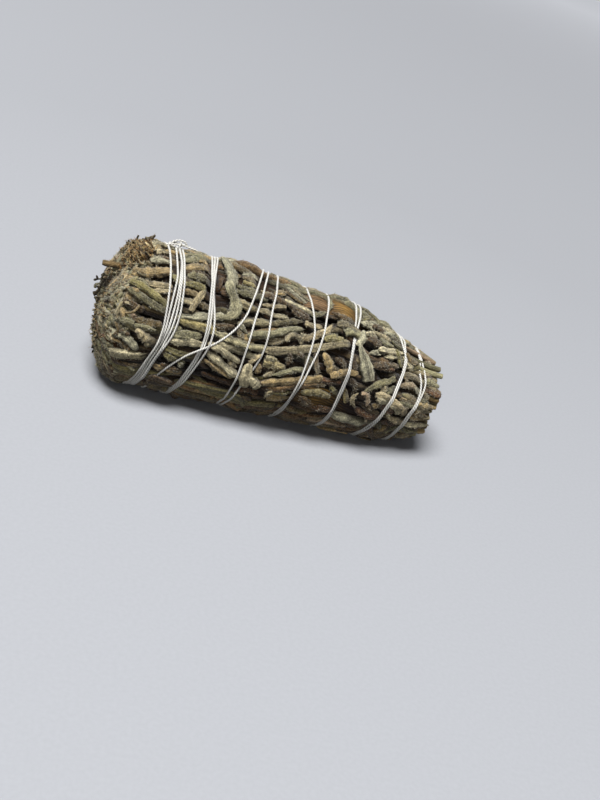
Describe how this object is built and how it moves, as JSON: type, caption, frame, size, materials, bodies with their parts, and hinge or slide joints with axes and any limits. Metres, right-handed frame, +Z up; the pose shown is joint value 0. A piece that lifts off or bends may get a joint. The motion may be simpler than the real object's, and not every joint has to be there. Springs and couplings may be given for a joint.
{
  "type": "smudge stick",
  "caption": "Dried lavender sprigs and rolled citronella blades packed into a blunt tapered bundle, wound and tied with cotton thread; lies on its side.",
  "frame": {"origin": "on the surface that the stick lies on, under the middle of its outer box", "axes": "+X along the stick from the leafy head to the cut stems, +Z up"},
  "size_m": [0.1156, 0.0456, 0.0471],
  "materials": {
    "dried_lavender": "dry, felted, grey-green",
    "dried_citronella": "dry, ribbed, straw brown",
    "cotton_thread": "matte, twisted"
  },
  "bodies": {
    "root": {"binding_thread": "cotton_thread", "citronella_blade_1": "dried_citronella", "citronella_blade_2": "dried_citronella", "citronella_blade_3": "dried_citronella", "citronella_blade_4": "dried_citronella", "lavender_sprig_01": "dried_lavender", "lavender_sprig_02": "dried_lavender", "lavender_sprig_03": "dried_lavender", "lavender_sprig_04": "dried_lavender", "lavender_sprig_05": "dried_lavender", "lavender_sprig_06": "dried_lavender", "lavender_sprig_07": "dried_lavender", "lavender_sprig_08": "dried_lavender", "lavender_sprig_09": "dried_lavender", "lavender_sprig_10": "dried_lavender", "lavender_sprig_11": "dried_lavender", "lavender_sprig_12": "dried_lavender", "lavender_sprig_13": "dried_lavender", "lavender_sprig_14": "dried_lavender", "lavender_sprig_15": "dried_lavender", "lavender_sprig_16": "dried_lavender", "lavender_sprig_17": "dried_lavender", "lavender_sprig_18": "dried_lavender", "lavender_sprig_19": "dried_lavender", "lavender_sprig_20": "dried_lavender", "lavender_sprig_21": "dried_lavender", "lavender_sprig_22": "dried_lavender", "lavender_sprig_23": "dried_lavender", "lavender_sprig_24": "dried_lavender", "lavender_sprig_25": "dried_lavender", "lavender_sprig_26": "dried_lavender", "lavender_sprig_27": "dried_lavender", "lavender_sprig_28": "dried_lavender", "lavender_sprig_29": "dried_lavender", "lavender_sprig_30": "dried_lavender", "lavender_sprig_31": "dried_lavender", "lavender_sprig_32": "dried_lavender", "lavender_sprig_33": "dried_lavender"}
  },
  "joints": []
}
